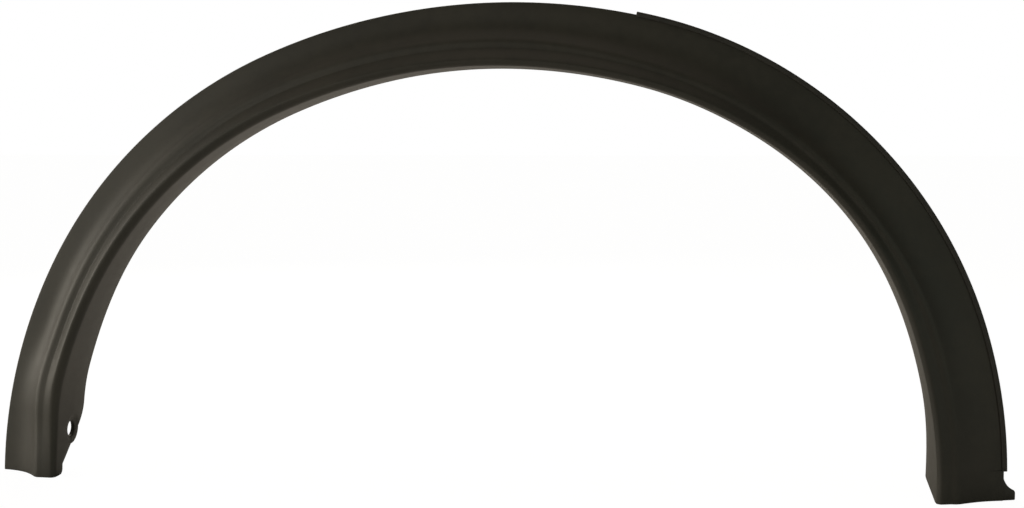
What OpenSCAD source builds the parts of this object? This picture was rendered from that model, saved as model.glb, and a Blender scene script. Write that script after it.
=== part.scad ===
// Wheel arch trim: one moulded arch with a stepped face, a return flange round the wheel opening,
// ribs and clip houses behind the face, and a soft seal on the right half of its outer edge.
// It stands on its two feet. The show face looks towards -Y and the vehicle's side panel is at Y = 0.

/* [Outer edge] */
// Distance from the middle line to the outer edge at the left foot
left_reach = 443.3; // [400:0.1:480]
// Lean of the left foot towards the opening, in degrees
left_lean = 1.4; // [0:0.1:5]
// Radius of the outer edge over the left leg
left_r = 418; // [380:1:460]
// Angle that the left leg's arc turns through
left_turn = 71.3; // [60:0.1:80]
// Radius of the outer edge over the crown
crown_r = 566; // [480:1:700]
// Angle that the crown's arc turns through
crown_turn = 26.5; // [15:0.1:40]
// Radius of the outer edge over the right leg
right_r = 387; // [350:1:430]

/* [Face width] */
// Width of the face at the left foot
left_foot_w = 59; // [48:0.1:75]
// Width of the face low on the left leg
left_leg_w = 57; // [48:0.1:75]
// Width of the face at the left shoulder
left_shoulder_w = 52.3; // [48:0.1:75]
// Width of the face at the crown
crown_w = 54; // [48:0.1:75]
// Width of the face right of the crown
right_crown_w = 57; // [48:0.1:75]
// Width of the face at the right shoulder
right_shoulder_w = 52.9; // [48:0.1:75]
// Width of the face at the right foot
right_foot_w = 57.8; // [48:0.1:75]

/* [Front band] */
// Width of the front band, from the crest of the cove to the lip, at the left foot
left_foot_band = 15; // [12:0.1:20]
// Width of the front band low on the left leg
left_leg_band = 24.5; // [14:0.1:28]
// Width of the front band at the left shoulder
left_shoulder_band = 20.9; // [14:0.1:28]
// Width of the front band at the crown
crown_band = 19.4; // [14:0.1:28]
// Width of the front band right of the crown
right_crown_band = 20; // [14:0.1:28]
// Width of the front band at the right shoulder
right_shoulder_band = 15.6; // [13:0.1:24]
// Width of the front band at the right foot
right_foot_band = 16.3; // [13:0.1:24]

/* [Heights] */
// How far the front band stands proud of the side panel at the left foot
left_foot_h = 29; // [24:0.1:36]
// How far the front band stands proud along the rest of the arch
band_h = 26; // [22:0.1:34]
// Height of the cove's crest at the left foot
left_foot_crest_h = 26.5; // [20:0.1:28]
// Height of the cove's crest over the left leg and the crown
crest_h = 17.5; // [13:0.1:22]
// Height of the cove's crest at the right shoulder
right_crest_h = 22.5; // [16:0.1:25]
// Height of the cove's crest at the right foot
right_foot_crest_h = 24.5; // [18:0.1:25.5]
// Slope of the cove where it leaves the outer rim
cove_start_slope = 0.2; // [0.1:0.01:0.3]
// Slope of the cove at its crest, on the left leg and the crown
cove_end_slope = 1.15; // [0.8:0.01:1.4]
// Slope of the cove at its crest, at the right foot
right_end_slope = 0.6; // [0.4:0.01:0.9]

/* [Wall, rim and flange] */
// Wall thickness
wall = 2.5; // [2:0.1:3.2]
// Height that the plain outer rim adds behind the wall
rim_step = 0.7; // [0.4:0.1:1.5]
// Height of the outer rim right of the crown, where the seal starts
crown_rim_h = 7; // [5:0.1:9]
// Height of the outer rim at the right foot, where the seal ends
sealed_rim_h = 9; // [7:0.1:11]
// Radius of the lip at the feet
foot_lip_r = 5.5; // [3.5:0.1:7]
// Radius of the lip along the legs and the crown
lip_r = 8.5; // [4:0.1:10]
// How far the return flange reaches behind the side panel's plane
flange_back = 22.5; // [14:0.5:35]
// How far the flange reaches back at the feet
foot_flange_back = 31; // [20:0.5:40]

/* [Flange ends] */
// Height at which the left flange end starts to taper
left_taper_top = 48; // [40:1:70]
// Height at which the left taper meets the foot
left_taper_low = 6; // [2:1:15]
// Height at which the right flange end starts to taper
right_taper_top = 13; // [6:1:30]

/* [Screw hole] */
// Radius of the screw hole in the left flange end
hole_r = 7.2; // [5:0.1:8]
// Height of the screw hole above the foot
hole_z = 38; // [34:0.5:60]
// Distance of the screw hole behind the side panel's plane
hole_y = 8.5; // [6:0.5:12]
// Radius of the dished seat at the flange's surface
dish_r = 12.5; // [10:0.1:14]
// Depth of the dished seat
dish_depth = 2.8; // [1.5:0.1:3]
// Height of the pad behind the dished seat
pad_h = 3.2; // [2.5:0.1:4]

/* [Clip houses and ribs] */
// Number of clip houses along the arch
houses = 7; // [4:1:9]
// Place of the first clip house, as a share of the outer edge's length from the left foot
first_house = 0.07; // [0.06:0.01:0.15]
// Place of the last clip house, as a share of the outer edge's length from the left foot
last_house = 0.93; // [0.85:0.01:0.94]
// Distance between the two walls of a clip house
house_w = 20; // [16:1:26]
// Length of the slotted plate across a clip house, measured from the flange
house_plate_l = 26; // [22:0.5:30]
// Thickness of the slotted plate
house_plate_t = 2; // [1.5:0.1:3]
// Thickness of the house walls and ribs
rib_t = 1.8; // [1.4:0.1:2.4]
// Setback of ribs and plates from the side panel's plane
rib_setback = 1; // [0.5:0.1:2]
// Radius of the round seat at the end of a clip slot
clip_r = 4; // [3.5:0.1:6]
// Width of the slot that a clip slides through to its seat
clip_slot_w = 6.6; // [4:0.1:6.8]
// Distance of the seat from the flange
clip_reach = 16; // [12:0.5:18]

/* [Toe of the right foot] */
// How far the toe reaches past the outer edge
toe_reach = 10.8; // [6:0.1:16]
// Height of the toe's tip
toe_tip_h = 6.8; // [4:0.1:10]
// Radius of the hollow that sweeps the edge out to the toe
toe_sweep_r = 18.8; // [14:0.1:26]
// Angle that the toe turns back towards the side panel, in degrees
toe_turn = 24; // [0:1:35]
// Length of the witness groove beside the seal's end
groove_l = 11; // [4:0.5:20]
// Width and depth of the witness groove
groove_size = [1, 0.6]; // [0.4:0.1:2]

/* [Edge seal] */
// Where the seal starts, as a share of the outer edge's length from the left foot
seal_start = 0.594; // [0.4:0.001:0.8]
// Height of the seal's lower end above the foot
seal_end_z = 24; // [22:0.5:60]
// How far the seal stands out from the outer edge
seal_proud = 2.8; // [1.5:0.1:5]
// How far the seal's lip laps over the face
seal_lap = 1.7; // [1:0.1:3]
// Thickness of the lapping lip
seal_lip_t = 1.3; // [0.8:0.1:2.5]
// Clearance between the seal and the moulding
seal_gap = 0.15; // [0.1:0.05:0.3]

/* [Hidden] */
$fn = 48;

// Rounding of the rim's front corner
edge_r = 1;
// Chamfer of the flange's back edge, across the wall and along the flange
back_chamfer = [0.6, 1];
// Half length of the rounding over the cove's crest
crest_round = 2;
// Shares of the front band taken by the ledge, and of the step up taken by the ledge's own rise
ledge_share = 0.2;
ledge_rise = 0.12;
// Shares of the cove's and of the rise's width that their curves hold on to the slopes at their ends
cove_pull = 0.4;
crest_pull = 0.33;
rise_pull = 0.4;
// Largest lip radius, as a share of the front band
lip_share = 0.4;
// Rim of plastic round the dished seat of the screw hole
pad_rim = 1.5;
// How much steeper than the cove's start the underside of the seal's lip runs
lap_steepening = 1.5;
// Share of the lip's thickness that rounds the edge of the seal's lip
seal_nose = 0.4;
// Distance between neighbouring sections along the arch
pitch = 16;
// Overlap that joins or clears solids cleanly
eps = 0.5;

moulding_colour = [0.16, 0.16, 0.14];
seal_colour = [0.08, 0.08, 0.08];

// Places of the named sections, as shares of the outer edge's length
at_leg = 0.08;
at_shoulder = 0.2;
at_crown = 0.42;
at_right_crown = 0.6;
at_right_shoulder = 0.78;
at_right_leg = 0.95;

width_keys = [
    [0, left_foot_w], [at_leg, left_leg_w], [at_shoulder, left_shoulder_w], [at_crown, crown_w],
    [at_right_crown, right_crown_w], [at_right_shoulder, right_shoulder_w], [1, right_foot_w]
];
band_keys = [
    [0, left_foot_band], [at_leg, left_leg_band], [at_shoulder, left_shoulder_band], [at_crown, crown_band],
    [at_right_crown, right_crown_band], [at_right_shoulder, right_shoulder_band], [1, right_foot_band]
];
crest_keys = [
    [0, left_foot_crest_h], [at_leg, crest_h], [at_crown, crest_h],
    [at_right_shoulder, right_crest_h], [1, right_foot_crest_h]
];
top_keys = [[0, left_foot_h], [at_leg, band_h], [1, band_h]];
slope_keys = [[0, cove_end_slope], [at_crown, cove_end_slope], [1, right_end_slope]];
lip_keys = [[0, foot_lip_r], [at_leg, lip_r], [at_right_crown, lip_r], [1, foot_lip_r]];
plain_rim_h = wall + rim_step;
rim_keys = [[0, plain_rim_h], [at_crown, plain_rim_h], [at_right_crown, crown_rim_h], [1, sealed_rim_h]];
back_keys = [
    [0, foot_flange_back], [at_leg, foot_flange_back], [at_shoulder, flange_back],
    [at_right_shoulder, flange_back], [at_right_leg, foot_flange_back], [1, foot_flange_back]
];

// Value at a share of the length, eased between the two keys around it
function key_before(keys, s, i = 0) =
    i >= len(keys) - 2 || s < keys[i + 1][0] ? i : key_before(keys, s, i + 1);
function ease(f) = (1 - cos(180 * max(0, min(1, f)))) / 2;
function along(keys, s) =
    let (a = keys[key_before(keys, s)], b = keys[key_before(keys, s) + 1])
    a[1] + (b[1] - a[1]) * ease((s - a[0]) / (b[0] - a[0]));

// The outer edge is three arcs that meet on a tangent. A heading is the direction of travel along it,
// in degrees above level, from the left foot over the crown to the right foot.
left_start = 90 - left_lean;
left_join = left_start - left_turn;
right_join = left_join - crown_turn;
function out(h) = [-sin(h), cos(h)];
left_c = [-left_reach, 0] - left_r * out(left_start);
crown_c = left_c + (left_r - crown_r) * out(left_join);
right_c = crown_c + (crown_r - right_r) * out(right_join);
function left_foot(u) = acos(-left_c[1] / (left_r - u));
function right_foot(u) = -acos(-right_c[1] / (right_r - u));
right_end = right_foot(0);

function arc_centre(h) = h > left_join ? left_c : h > right_join ? crown_c : right_c;
function arc_radius(h) = h > left_join ? left_r : h > right_join ? crown_r : right_r;
// Point at distance u inwards from the outer edge
function edge_point(h, u) = arc_centre(h) + (arc_radius(h) - u) * out(h);

left_length = left_r * left_turn * PI / 180;
crown_length = crown_r * crown_turn * PI / 180;
right_length = right_r * (right_join - right_end) * PI / 180;
edge_length = left_length + crown_length + right_length;
function share(h) =
    (h > left_join ? left_r * (left_start - h) * PI / 180
        : h > right_join ? left_length + crown_r * (left_join - h) * PI / 180
        : left_length + crown_length + right_r * (right_join - h) * PI / 180) / edge_length;
function heading(s) =
    s * edge_length < left_length ? left_start - s * edge_length / left_r * 180 / PI
        : s * edge_length < left_length + crown_length
        ? left_join - (s * edge_length - left_length) / crown_r * 180 / PI
        : right_join - (s * edge_length - left_length - crown_length) / right_r * 180 / PI;
// Heading on the right arc at a height above the foot
function right_heading_at(z) = -acos((z - right_c[1]) / right_r);
function left_heading_at(z, u) = acos((z - left_c[1]) / (left_r - u));

// Sections fan out slightly over the feet, so that every line of the moulding ends level at Z = 0
function fanned(h, u) =
    h > left_join ? left_join + (h - left_join) * (left_foot(u) - left_join) / (left_start - left_join)
        : h < right_join ? right_join + (h - right_join) * (right_foot(u) - right_join) / (right_end - right_join)
        : h;
function on_arch(h, p) = let (q = edge_point(fanned(h, p[0]), p[0])) [q[0], p[1], q[1]];

function steps(length) = ceil(length / pitch);
function headings_between(a, b, n) = [for (i = [0 : n - 1]) a + (b - a) * i / n];
arch_headings = concat(
    headings_between(left_start, left_join, steps(left_length)),
    headings_between(left_join, right_join, steps(crown_length)),
    headings_between(right_join, right_end, steps(right_length)),
    [right_end]
);

// Middle of the bend that rounds corner b between a and c, and a point of a cubic curve
function bend_middle(a, b, c) = (a + 2 * b + c) / 4;
function cubic(a, b, c, d, t) =
    a * pow(1 - t, 3) + b * 3 * t * pow(1 - t, 2) + c * 3 * t * t * (1 - t) + d * pow(t, 3);

// Section of the show side, as [distance from the outer edge, Y], from the rim's back to the flange's back
cove_points = 7;
rise_points = 5;
lip_points = 4;
function crest_u(s) = along(width_keys, s) - along(band_keys, s);
function lip_radius(s) = max(wall + eps, min(along(lip_keys, s), along(band_keys, s) * lip_share));
function show_side(s) =
    let (
        w = along(width_keys, s),
        band = along(band_keys, s),
        rim = along(rim_keys, s),
        crest = along(crest_keys, s),
        top = max(along(top_keys, s), crest + eps),
        slope = along(slope_keys, s),
        back = along(back_keys, s),
        r = lip_radius(s),
        ledge = [w - band * (1 - ledge_share), -crest - ledge_rise * (top - crest)],
        ledge_dir = (ledge - [w - band, -crest]) / (band * ledge_share),
        cove_end = [w - band - crest_round, -crest + crest_round * slope],
        cove_l = cove_end[0] - edge_r,
        crest_end = [w - band, -crest] + crest_round * ledge_dir,
        top_start = [w - r, -top],
        rise_l = top_start[0] - ledge[0]
    )
    concat(
        [[0, 0], [0, -rim + edge_r], [edge_r, -rim]],
        [for (i = [1 : cove_points]) cubic(
            [edge_r, -rim], [edge_r, -rim] + cove_pull * cove_l * [1, -cove_start_slope],
            cove_end - crest_pull * cove_l * [1, -slope], cove_end, i / cove_points)],
        [bend_middle(cove_end, [w - band, -crest], crest_end), crest_end, ledge],
        [for (i = [1 : rise_points]) cubic(
            ledge, ledge + rise_pull * rise_l * ledge_dir, top_start - [rise_pull * rise_l, 0], top_start,
            i / rise_points)],
        [for (i = [1 : lip_points]) [w - r, -top + r] + r * out(-180 + 90 * i / lip_points)],
        [[w, back - back_chamfer[1]], [w - back_chamfer[0], back]]
    );

// The hidden side follows the show side one wall thickness behind it, point for point
first_cove = 3;
groove_chord = first_cove + 2;
first_lip = first_cove + cove_points + 3 + rise_points;
function slope_at(p, i) = (p[i + 1][1] - p[i - 1][1]) / (p[i + 1][0] - p[i - 1][0]);
function hidden_side(s) =
    let (
        p = show_side(s),
        w = along(width_keys, s),
        r = lip_radius(s),
        lip_c = [w - r, p[first_lip - 1][1] + r],
        inner = p[2][1] - (wall - edge_r) * cove_start_slope + wall * norm([1, cove_start_slope])
    )
    concat(
        [[wall, 0], [wall, inner / 2], [wall, inner]],
        [for (i = [first_cove : first_lip - 1]) p[i] + [0, wall * norm([1, slope_at(p, i)])]],
        [for (i = [1 : lip_points]) lip_c + (r - wall) * out(-180 + 90 * i / lip_points)],
        [[w - wall, along(back_keys, s) - back_chamfer[1]], [w - wall + back_chamfer[0], along(back_keys, s)]]
    );

function reversed(list) = [for (i = [len(list) - 1 : -1 : 0]) list[i]];

// Solid swept through rings of equal length, each made of a front list and an equal back list
module swept(rings) {
    count = len(rings);
    n = len(rings[0]);
    half = n / 2;
    polyhedron(
        points = [for (ring = rings) each ring],
        faces = concat(
            [for (j = [0 : count - 2], i = [0 : n - 1])
                [j * n + i, (j + 1) * n + i, (j + 1) * n + (i + 1) % n, j * n + (i + 1) % n]],
            [for (i = [0 : half - 2]) [i, i + 1, n - 2 - i, n - 1 - i]],
            [for (i = [0 : half - 2]) let (k = (count - 1) * n) [k + n - 1 - i, k + n - 2 - i, k + i + 1, k + i]]
        )
    );
}

module shell() {
    swept([for (h = arch_headings)
        [for (p = concat(show_side(share(h)), reversed(hidden_side(share(h))))) on_arch(h, p)]]);
}

// Puts its children at a heading, with X inwards from the outer edge and Z along it
module at_heading(h) {
    q = edge_point(h, 0);
    translate([q[0], 0, q[1]]) rotate([0, 90 - h, 0]) children();
}

// Cross rib that fills the channel between the face and the flange
rib_first = first_cove + 2;
module cross_rib(s) {
    show = show_side(s);
    hidden = hidden_side(s);
    middle = [for (i = [rib_first : first_lip + lip_points - 1]) (show[i] + hidden[i]) / 2];
    translate([0, 0, -rib_t / 2])
        linear_extrude(rib_t)
        polygon(concat(middle, [
            [middle[len(middle) - 1][0], -rib_setback],
            [middle[0][0], -rib_setback]
        ]));
}

// Clip house: two ribs and a slotted plate that a push-in clip slides into
module clip_house(s) {
    w = along(width_keys, s);
    for (side = [-1, 1])
        translate([0, 0, side * house_w / 2])
        cross_rib(s);
    difference() {
        translate([w - house_plate_l, -rib_setback - house_plate_t, -house_w / 2])
            cube([house_plate_l - wall / 2, house_plate_t, house_w]);
        translate([w - clip_reach, -rib_setback + eps, 0])
            rotate([90, 0, 0])
            cylinder(r = clip_r, h = house_plate_t + 2 * eps);
        translate([w - house_plate_l - eps, -rib_setback - house_plate_t - eps, -clip_slot_w / 2])
            cube([house_plate_l - clip_reach + eps, house_plate_t + 2 * eps, clip_slot_w]);
    }
}

function house_share(i) = first_house + (last_house - first_house) * i / (houses - 1);

module stiffening() {
    for (i = [0 : houses - 1])
        at_heading(heading(house_share(i)))
        clip_house(house_share(i));
    for (i = [0 : houses - 2])
        let (s = (house_share(i) + house_share(i + 1)) / 2)
        at_heading(heading(s))
        cross_rib(s);
}

// Screw hole with a dished seat in the left flange end. Its axis is square to the flange.
hole_h = left_heading_at(hole_z, left_foot_w);
hole_w = along(width_keys, share(hole_h));
module along_hole(from, to, r1, r2) {
    at_heading(hole_h)
        translate([from, hole_y, 0])
        rotate([0, 90, 0])
        cylinder(r1 = r1, r2 = r2, h = to - from);
}
module hole_pad() {
    along_hole(hole_w - wall - pad_h, hole_w - wall / 2, dish_r + pad_rim, dish_r + pad_rim);
}
module hole_cut() {
    along_hole(hole_w - wall - pad_h - eps, hole_w - dish_depth + eps, hole_r, hole_r);
    along_hole(hole_w - dish_depth, hole_w + eps, hole_r, dish_r + eps * (dish_r - hole_r) / dish_depth);
}

// Wedges that taper the ends of the flange. Both stay behind the side panel's plane.
module flange_taper(x, low, top, depth) {
    translate([x, 0, 0])
        rotate([90, 0, 90])
        linear_extrude(2 * max(left_foot_w, right_foot_w), center = true)
        polygon([[eps, -eps], [eps, low], [depth + eps, top], [depth + 2 * wall, top], [depth + 2 * wall, -eps]]);
}

// Toe: the outer edge of the right foot sweeps out, on an arc that leaves it on a tangent, to a small lug
right_foot_x = right_c[0] + sqrt(pow(right_r, 2) - pow(right_c[1], 2));
toe_h = toe_tip_h + sqrt(pow(toe_sweep_r, 2) - pow(toe_sweep_r - toe_reach, 2));
module toe() {
    translate([right_foot_x, -sealed_rim_h + edge_r, 0])
        rotate([0, 0, toe_turn])
        rotate([90, 0, 0])
        translate([0, 0, -wall])
        linear_extrude(wall)
        difference() {
            translate([-wall, 0])
                square([toe_reach + wall, toe_h]);
            translate([toe_sweep_r, toe_h])
                circle(r = toe_sweep_r);
        }
}

// Groove along the chord of the cove, from the rim's corner inwards
module witness_groove() {
    h = right_heading_at(seal_end_z + groove_size[0]);
    show = show_side(share(h));
    from = show[first_cove - 1];
    chord = show[groove_chord] - from;
    at_heading(h)
        translate([from[0], from[1], 0])
        rotate([0, 0, atan2(chord[1], chord[0])])
        translate([-edge_r, -eps, -groove_size[0] / 2])
        cube([groove_l + edge_r, groove_size[1] + eps, groove_size[0]]);
}

module arch_moulding() {
    color(moulding_colour)
        difference() {
            union() {
                shell();
                stiffening();
                hole_pad();
                toe();
            }
            hole_cut();
            flange_taper(-left_reach + left_foot_w, left_taper_low, left_taper_top, foot_flange_back);
            flange_taper(right_foot_x - right_foot_w, 0, right_taper_top, foot_flange_back);
            witness_groove();
        }
}

// Seal: an L-shaped strip beside the rim, with a lip that laps over the face's edge
seal_points = 4;
function seal_outer(s) =
    let (top = along(rim_keys, s) + seal_gap + seal_lip_t)
    concat(
        [[-seal_proud, 0]],
        [for (i = [0 : seal_points - 1])
            [-seal_proud + edge_r, -top + edge_r] + edge_r * out(90 + 90 * i / (seal_points - 1))],
        [[seal_lap - seal_nose * seal_lip_t, -top], [seal_lap, -top + seal_nose * seal_lip_t]]
    );
function seal_inner(s) =
    let (top = along(rim_keys, s) + seal_gap)
    concat(
        [[-seal_gap, 0]],
        [for (i = [1 : seal_points]) [-seal_gap, -top * i / (seal_points + 1)]],
        [[-seal_gap, -top], [seal_lap, -top - (seal_lap - edge_r) * cove_start_slope * lap_steepening]]
    );
seal_from = heading(seal_start);
seal_to = right_heading_at(seal_end_z);
module edge_seal() {
    n = steps((seal_from - seal_to) * PI / 180 * right_r);
    color(seal_colour)
        swept([for (h = concat(headings_between(seal_from, seal_to, n), [seal_to]))
            [for (p = concat(seal_outer(share(h)), reversed(seal_inner(share(h)))))
                let (q = edge_point(h, p[0])) [q[0], p[1], q[1]]]]);
}

arch_moulding();
edge_seal();
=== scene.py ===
"""Dresses the wheel arch trim: a moulded arch with ribs and clip houses, and its edge seal."""

import bisect
import logging
import math
from collections.abc import Callable
from dataclasses import dataclass, replace
from enum import Enum

import bmesh
import bpy
from mathutils import Matrix, Vector


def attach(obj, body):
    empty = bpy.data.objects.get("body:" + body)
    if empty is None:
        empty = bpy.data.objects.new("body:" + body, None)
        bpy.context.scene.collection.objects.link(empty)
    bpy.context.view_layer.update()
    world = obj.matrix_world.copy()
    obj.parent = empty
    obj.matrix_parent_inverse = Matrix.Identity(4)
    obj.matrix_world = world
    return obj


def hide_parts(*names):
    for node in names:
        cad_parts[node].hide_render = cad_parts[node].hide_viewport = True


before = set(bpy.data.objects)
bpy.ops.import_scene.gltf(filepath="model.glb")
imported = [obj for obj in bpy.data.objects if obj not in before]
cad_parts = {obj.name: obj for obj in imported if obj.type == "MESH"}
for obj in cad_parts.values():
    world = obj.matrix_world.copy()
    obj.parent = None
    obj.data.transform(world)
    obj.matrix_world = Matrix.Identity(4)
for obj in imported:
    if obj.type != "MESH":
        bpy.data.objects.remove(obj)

MM = 0.001
LOG = logging.getLogger("wheel_arch_trim")

Point = tuple[float, float]
Triple = tuple[float, float, float]
Colour = tuple[float, float, float, float]
Inputs = dict[int | str, object]


# Node trees


def _operator(operation: str, swapped: bool = False) -> Callable[..., "Value"]:
    """Makes a method of Value that adds a Math node.

    Args:
        operation: The node's operation.
        swapped: Whether the other operand comes first.

    Returns:
        The method.
    """

    def method(self: "Value", *others: "Value | float") -> "Value":
        """Gives the node's result."""
        operands = (*others, self) if swapped else (self, *others)
        return self.graph.value("ShaderNodeMath", dict(enumerate(operands)), operation=operation)

    return method


class Value:
    """A number in a node tree. Python's operators on it add Math nodes."""

    def __init__(self, graph: "Graph", socket: bpy.types.NodeSocket) -> None:
        """Wraps an output that carries a number."""
        self.graph = graph
        self.socket = socket

    __add__ = __radd__ = _operator("ADD")
    __sub__ = _operator("SUBTRACT")
    __rsub__ = _operator("SUBTRACT", swapped=True)
    __mul__ = __rmul__ = _operator("MULTIPLY")
    __truediv__ = _operator("DIVIDE")
    __rtruediv__ = _operator("DIVIDE", swapped=True)
    __pow__ = _operator("POWER")
    __rpow__ = _operator("POWER", swapped=True)
    __lt__ = _operator("LESS_THAN")
    __gt__ = _operator("GREATER_THAN")
    sin = _operator("SINE")
    cos = _operator("COSINE")
    acos = _operator("ARCCOSINE")

    def __neg__(self) -> "Value":
        """Turns the sign round."""
        return self * -1

    def smooth(self, low: float, high: float) -> "Value":
        """Ramps smoothly from 0 at the low value to 1 at the high one."""
        inputs = {"Value": self, "From Min": low, "From Max": high, "To Min": 0.0, "To Max": 1.0}
        return self.graph.value("ShaderNodeMapRange", inputs, interpolation_type="SMOOTHSTEP")


class Graph:
    """A node tree that is being built."""

    def __init__(self, tree: bpy.types.NodeTree) -> None:
        """Takes over a tree and empties it."""
        self.tree = tree
        tree.nodes.clear()

    @classmethod
    def of(cls, owner: bpy.types.Material | bpy.types.World) -> "Graph":
        """Takes over the nodes of a material or a world."""
        owner.use_nodes = True
        return cls(owner.node_tree)

    def node(self, kind: str, inputs: Inputs | None = None, **settings: object) -> bpy.types.Node:
        """Adds a node.

        Args:
            kind: The node's type.
            inputs: What each input socket holds or is linked to, by its index or name.
            settings: The node's own settings, which are made first.

        Returns:
            The node.
        """
        node = self.tree.nodes.new(kind)
        for name, setting in settings.items():
            setattr(node, name, setting)
        for key, value in (inputs or {}).items():
            self.feed(node.inputs[key], value)
        return node

    def feed(self, socket: bpy.types.NodeSocket, value: object) -> None:
        """Links or sets an input socket.

        Args:
            socket: The input.
            value: A Value or a socket to link, or a plain value to set.
        """
        source = value.socket if isinstance(value, Value) else value
        if isinstance(source, bpy.types.NodeSocket):
            self.tree.links.new(source, socket)
        else:
            socket.default_value = source

    def value(self, kind: str, inputs: Inputs, output: int | str = 0, **settings: object) -> Value:
        """Adds a node and gives one of its outputs as a number."""
        return Value(self, self.node(kind, inputs, **settings).outputs[output])

    def vector(self, **parts: Value | float) -> bpy.types.NodeSocket:
        """Joins numbers, named X, Y and Z, into a vector."""
        return self.node("ShaderNodeCombineXYZ", parts).outputs[0]

    def split(self, vector: bpy.types.NodeSocket) -> list[Value]:
        """Parts a vector into its X, Y and Z."""
        return [Value(self, socket) for socket in self.node("ShaderNodeSeparateXYZ", {0: vector}).outputs]

    def noise(self, place: bpy.types.NodeSocket, size: float, detail: float, roughness: float) -> Value:
        """Adds a noise pattern from 0 to 1, with patches of a size in millimetres."""
        inputs = {"Vector": place, "Scale": 1 / (size * MM), "Detail": detail, "Roughness": roughness}
        return self.value("ShaderNodeTexNoise", inputs, "Fac")

    def mix(self, factor: Value, low: Colour, high: Colour) -> bpy.types.NodeSocket:
        """Adds a colour ramp between two colours.

        Args:
            factor: Where on the ramp to read.
            low: The colour at 0.
            high: The colour at 1.

        Returns:
            The colour.
        """
        ramp = self.node("ShaderNodeValToRGB")
        for element, colour in zip(ramp.color_ramp.elements, (low, high)):
            element.color = colour
        self.feed(ramp.inputs["Fac"], factor)
        return ramp.outputs["Color"]


class GeometryTree(Graph):
    """A Geometry Nodes tree with named inputs."""

    def __init__(self, name: str) -> None:
        """Starts a tree that takes a geometry.

        Args:
            name: The tree's name.
        """
        super().__init__(bpy.data.node_groups.new(name, "GeometryNodeTree"))
        self.identifiers: dict[str, str] = {}
        self.sizes: dict[str, float | int] = {}
        for way in ("INPUT", "OUTPUT"):
            self.tree.interface.new_socket("Geometry", in_out=way, socket_type="NodeSocketGeometry")

    def declare(self, sizes: dict[str, float | int]) -> dict[str, Value]:
        """Args:
            sizes: Each size's name and value. A whole number makes an integer input.

        Returns:
            The value of each size in the tree, and the geometry as "Geometry".
        """
        self.sizes = sizes
        for name, size in sizes.items():
            kind = "NodeSocketInt" if isinstance(size, int) else "NodeSocketFloat"
            socket = self.tree.interface.new_socket(name, in_out="INPUT", socket_type=kind)
            self.identifiers[name] = socket.identifier
        outputs = self.node("NodeGroupInput").outputs
        return {socket.name: Value(self, socket) for socket in outputs if socket.name}

    def block(self, size: bpy.types.NodeSocket, middle: bpy.types.NodeSocket) -> bpy.types.NodeSocket:
        """Adds a block of a size round its middle."""
        cube = self.node("GeometryNodeMeshCube", {"Size": size})
        return self.moved(cube.outputs["Mesh"], Translation=middle)

    def moved(self, geometry: bpy.types.NodeSocket, **how: object) -> bpy.types.NodeSocket:
        """Moves or turns a geometry."""
        return self.node("GeometryNodeTransform", {"Geometry": geometry, **how}).outputs["Geometry"]

    def attribute(self, name: str) -> bpy.types.NodeSocket:
        """Reads a number that each point holds."""
        reader = self.node("GeometryNodeInputNamedAttribute", {"Name": name}, data_type="FLOAT")
        return reader.outputs["Attribute"]

    def at_stations(self, points: Value, shape: bpy.types.NodeSocket) -> bpy.types.NodeSocket:
        """Puts a shape at each station, turned to face inwards.

        Args:
            points: The stations.
            shape: What is put there.

        Returns:
            The instances.
        """
        turn = self.node("FunctionNodeEulerToRotation", {0: self.vector(Y=self.attribute("turn"))})
        inputs = {"Points": points, "Instance": shape, "Rotation": turn.outputs[0]}
        return self.node("GeometryNodeInstanceOnPoints", inputs).outputs["Instances"]

    def end(self, geometry: bpy.types.NodeSocket, material: bpy.types.Material) -> None:
        """Ends the tree in real geometry with a material.

        Args:
            geometry: What the tree has made.
            material: The finish that it gets.
        """
        real = self.node("GeometryNodeRealizeInstances", {"Geometry": geometry}).outputs["Geometry"]
        dressed = self.node("GeometryNodeSetMaterial", {"Geometry": real, "Material": material})
        self.node("NodeGroupOutput", {0: dressed.outputs["Geometry"]})

    def apply(self, piece: bpy.types.Object) -> None:
        """Runs the tree on an object and keeps the result as its plain mesh.

        Args:
            piece: The object.
        """
        modifier = piece.modifiers.new(self.tree.name, "NODES")
        modifier.node_group = self.tree
        for name, size in self.sizes.items():
            modifier[self.identifiers[name]] = size
        bake_modifiers(piece)


# Meshes


class Cut(Enum):
    """How one solid acts on another."""

    JOIN = "UNION"
    REMOVE = "DIFFERENCE"
    KEEP_COMMON = "INTERSECT"


def add_object(name: str, data: bpy.types.ID) -> bpy.types.Object:
    """Adds an object to the scene.

    Args:
        name: The object's name.
        data: Its mesh, light or camera.

    Returns:
        The object.
    """
    added = bpy.data.objects.new(name, data)
    bpy.context.scene.collection.objects.link(added)
    return added


def bake_modifiers(piece: bpy.types.Object) -> None:
    """Replaces an object's mesh by what its modifiers make of it, and removes them.

    Args:
        piece: The object.
    """
    bpy.context.view_layer.update()
    evaluated = piece.evaluated_get(bpy.context.evaluated_depsgraph_get())
    mesh = bpy.data.meshes.new_from_object(evaluated)
    piece.modifiers.clear()
    old = piece.data
    piece.data = mesh
    mesh.name = piece.name
    bpy.data.meshes.remove(old)


def make_piece(name: str, points: list[Vector], faces: list[list[int]]) -> bpy.types.Object:
    """Makes an object with its faces outwards.

    Args:
        name: The object's name.
        points: Places in metres.
        faces: Each face's points.

    Returns:
        The object.
    """
    mesh = bpy.data.meshes.new(name)
    mesh.from_pydata(points, [], faces)
    shell = bmesh.new()
    shell.from_mesh(mesh)
    bmesh.ops.recalc_face_normals(shell, faces=shell.faces)
    shell.to_mesh(mesh)
    shell.free()
    return add_object(name, mesh)


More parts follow.
